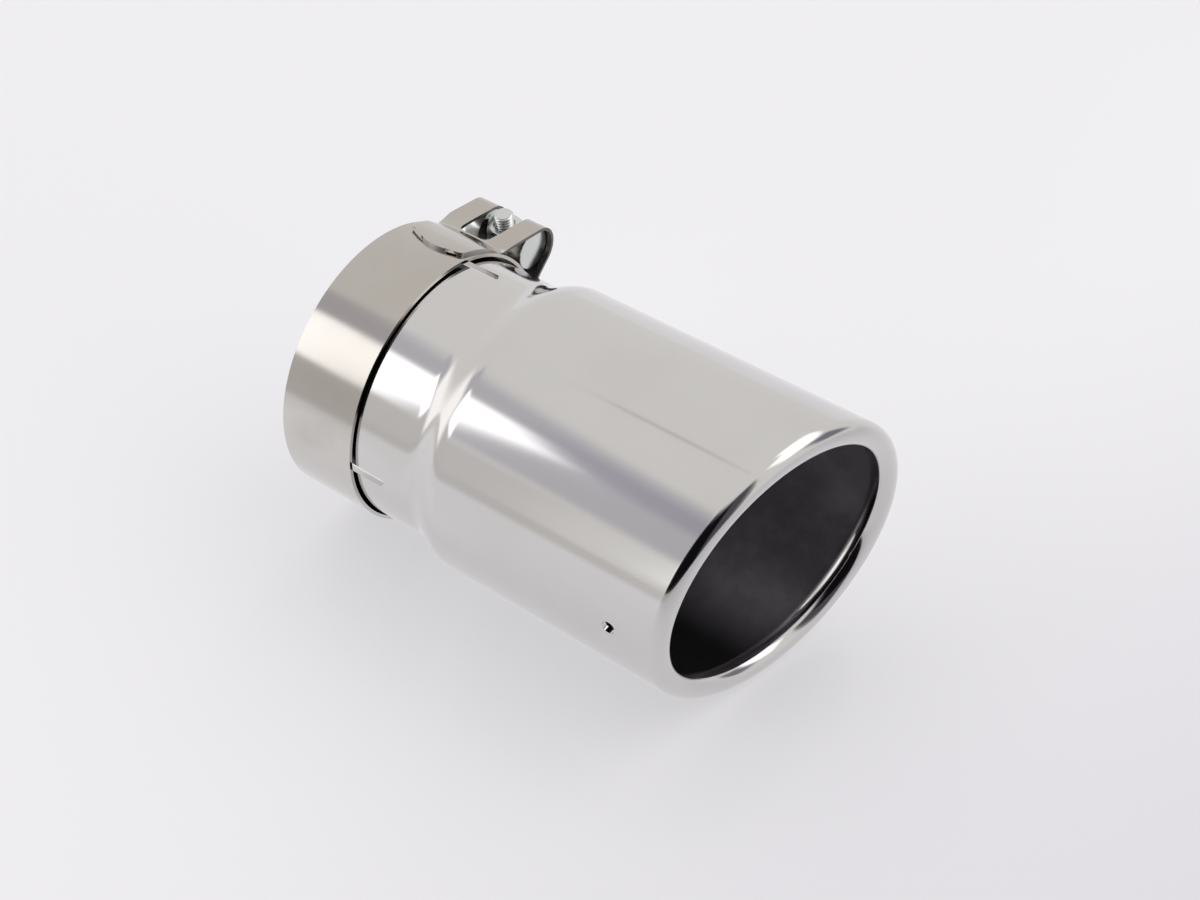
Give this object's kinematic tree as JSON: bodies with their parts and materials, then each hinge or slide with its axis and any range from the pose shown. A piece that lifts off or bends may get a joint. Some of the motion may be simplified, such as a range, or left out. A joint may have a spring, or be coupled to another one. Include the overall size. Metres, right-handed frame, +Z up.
{
  "type": "exhaust tip",
  "caption": "Round clamp-on exhaust tip with a slanted, rolled-in outlet, a slotted neck that slides over the tailpipe and a bolted band clamp with barrel ends.",
  "frame": {"origin": "centre of the neck's bore where its flared inlet end begins, on the tube's axis", "axes": "+X along the tube's axis from the inlet to the outlet, +Z up as the tip lies on its side in the picture, +Y towards the clamp's bolt"},
  "size_m": [0.1518, 0.0995, 0.09],
  "materials": {
    "polished_stainless": "polished stainless steel",
    "band_stainless": "bright rolled stainless steel strip",
    "zinc_plate": "bright zinc-plated steel"
  },
  "bodies": {
    "root": {"tip_shell": "polished_stainless", "clamp_band": "band_stainless", "upper_barrel": "zinc_plate", "lower_barrel": "zinc_plate", "clamp_bolt": "zinc_plate", "clamp_nut": "zinc_plate"}
  },
  "joints": []
}
